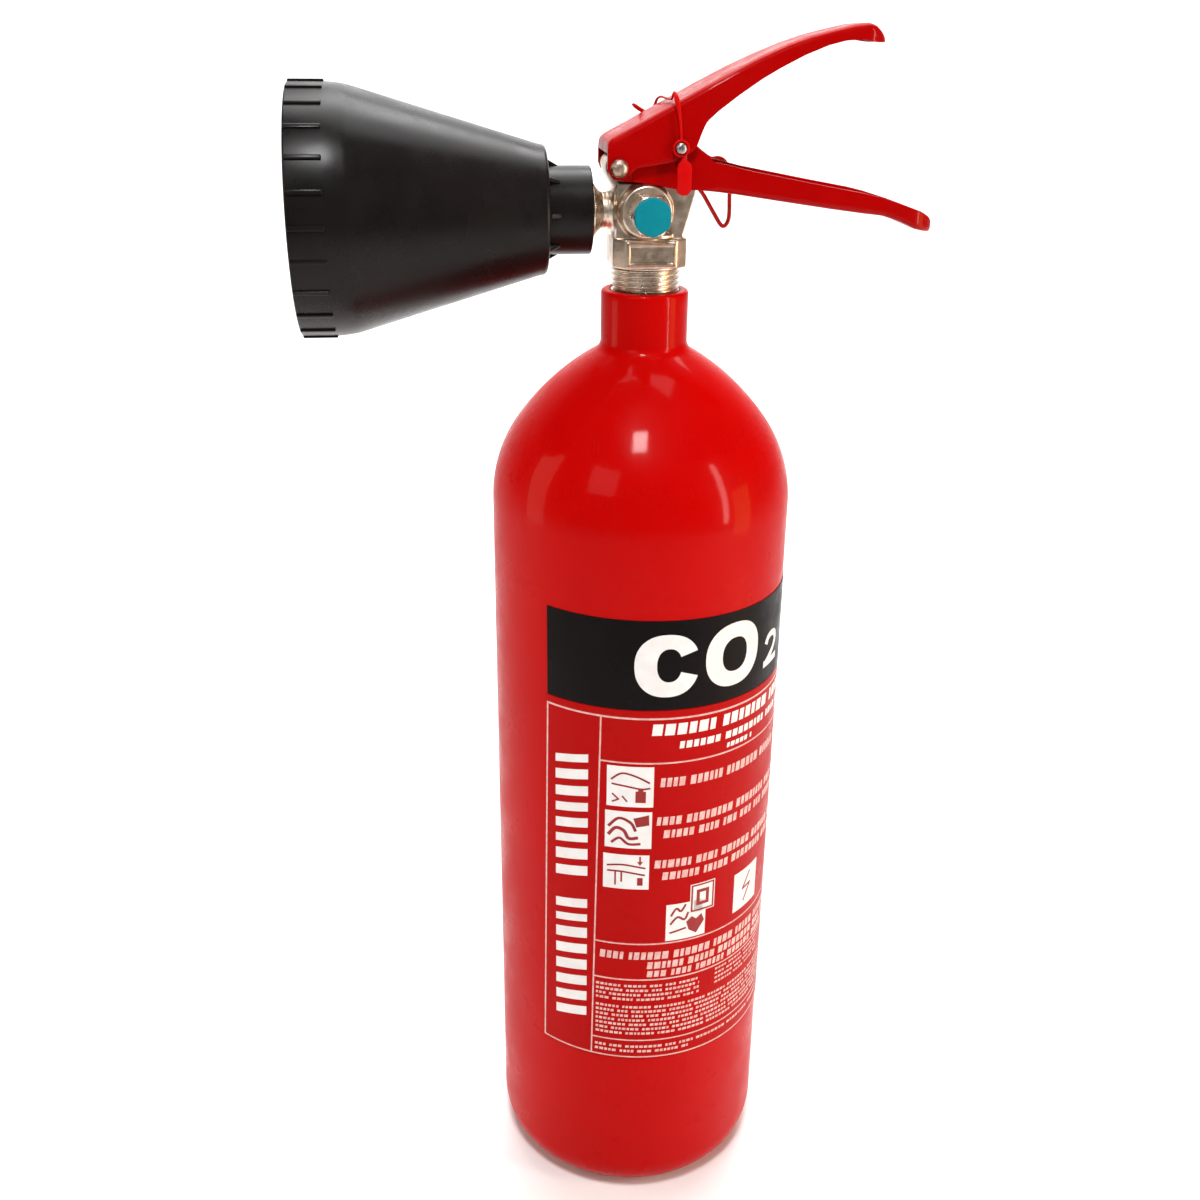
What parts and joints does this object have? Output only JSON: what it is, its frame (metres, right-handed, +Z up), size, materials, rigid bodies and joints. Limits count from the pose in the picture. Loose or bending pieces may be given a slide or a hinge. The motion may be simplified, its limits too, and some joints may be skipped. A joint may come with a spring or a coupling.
{
  "type": "fire extinguisher",
  "caption": "Portable carbon dioxide fire extinguisher: red steel cylinder, squeeze-grip valve with safety pin and pull ring, and a black discharge horn.",
  "frame": {"origin": "centre of the foot ring that the cylinder stands on", "axes": "+Z up along the cylinder, +X towards the tips of the levers, the horn points along -X, the burst plug faces -Y"},
  "size_m": [0.2281, 0.1142, 0.4742],
  "materials": {
    "cylinder_paint": "glossy red paint on steel",
    "label_red": "printed film, red ground",
    "label_black": "printed film, black ground",
    "valve_metal": "nickel-plated forged brass",
    "dip_tube": "drawn tube",
    "brass": "turned brass",
    "steel": "bright steel",
    "nylon": "nylon",
    "rubber": "black rubber",
    "copper": "soft copper",
    "cap_plastic": "teal plastic",
    "lever_paint": "glossy red powder coat",
    "rivet": "plated rivet",
    "ring_red": "red coated wire",
    "seal_plastic": "red plastic",
    "horn_plastic": "black moulded plastic, satin"
  },
  "bodies": {
    "extinguisher": {"cylinder_shell": "cylinder_paint", "label_panel": "label_red", "label_band": "label_black", "valve_body": "valve_metal", "dip_tube": "dip_tube", "dip_tube_adapter": "brass", "valve_spring": "steel", "rod_o_ring": "rubber", "gland_nut": "brass", "burst_disc": "steel", "burst_washer": "copper", "burst_plug": "valve_metal", "burst_plug_cap": "cap_plastic", "outlet_adapter": "valve_metal", "outlet_o_ring": "rubber", "carrying_handle": "lever_paint", "pivot_pin": "rivet", "insert_clip": "steel", "horn_nozzle": "brass"},
    "lever": {"operating_lever": "lever_paint", "seal_flag": "seal_plastic", "seal_strap": "seal_plastic"},
    "rod": {"valve_rod": "steel", "poppet": "brass", "poppet_seal": "nylon"},
    "pin": {"safety_pin": "steel"},
    "ring": {"pull_ring": "ring_red"},
    "horn": {"horn": "horn_plastic", "horn_insert": "brass"}
  },
  "joints": [
    {"name": "lever_squeeze", "type": "hinge", "parent": "extinguisher", "child": "lever", "pos_m": [-0.012, 0, 0.4273], "axis": [0, 1, 0], "range_deg": [0, 12], "stiffness_Nm_per_rad": 1, "springref_deg": -14.32},
    {"name": "rod_press", "type": "slide", "parent": "extinguisher", "child": "rod", "axis": [0, 0, -1], "range_m": [0, 0.0037], "deforming": ["valve_spring"]},
    {"name": "pin_pull", "type": "slide", "parent": "lever", "child": "pin", "axis": [0, 1, 0], "range_m": [0, 0.045]},
    {"name": "ring_swing", "type": "hinge", "parent": "pin", "child": "ring", "pos_m": [0.0091, 0.0182, 0.4339], "axis": [0.5446, 0, 0.8387], "range_deg": [0, 100]},
    {"name": "horn_turn", "type": "hinge", "parent": "extinguisher", "child": "horn", "pos_m": [-0.026, 0, 0.4118], "axis": [-1, 0, 0], "range_deg": [-180, 180]}
  ],
  "couplings": [
    {"joint": "rod_press", "follows": "lever_squeeze", "m_per_rad": 0.0176}
  ]
}
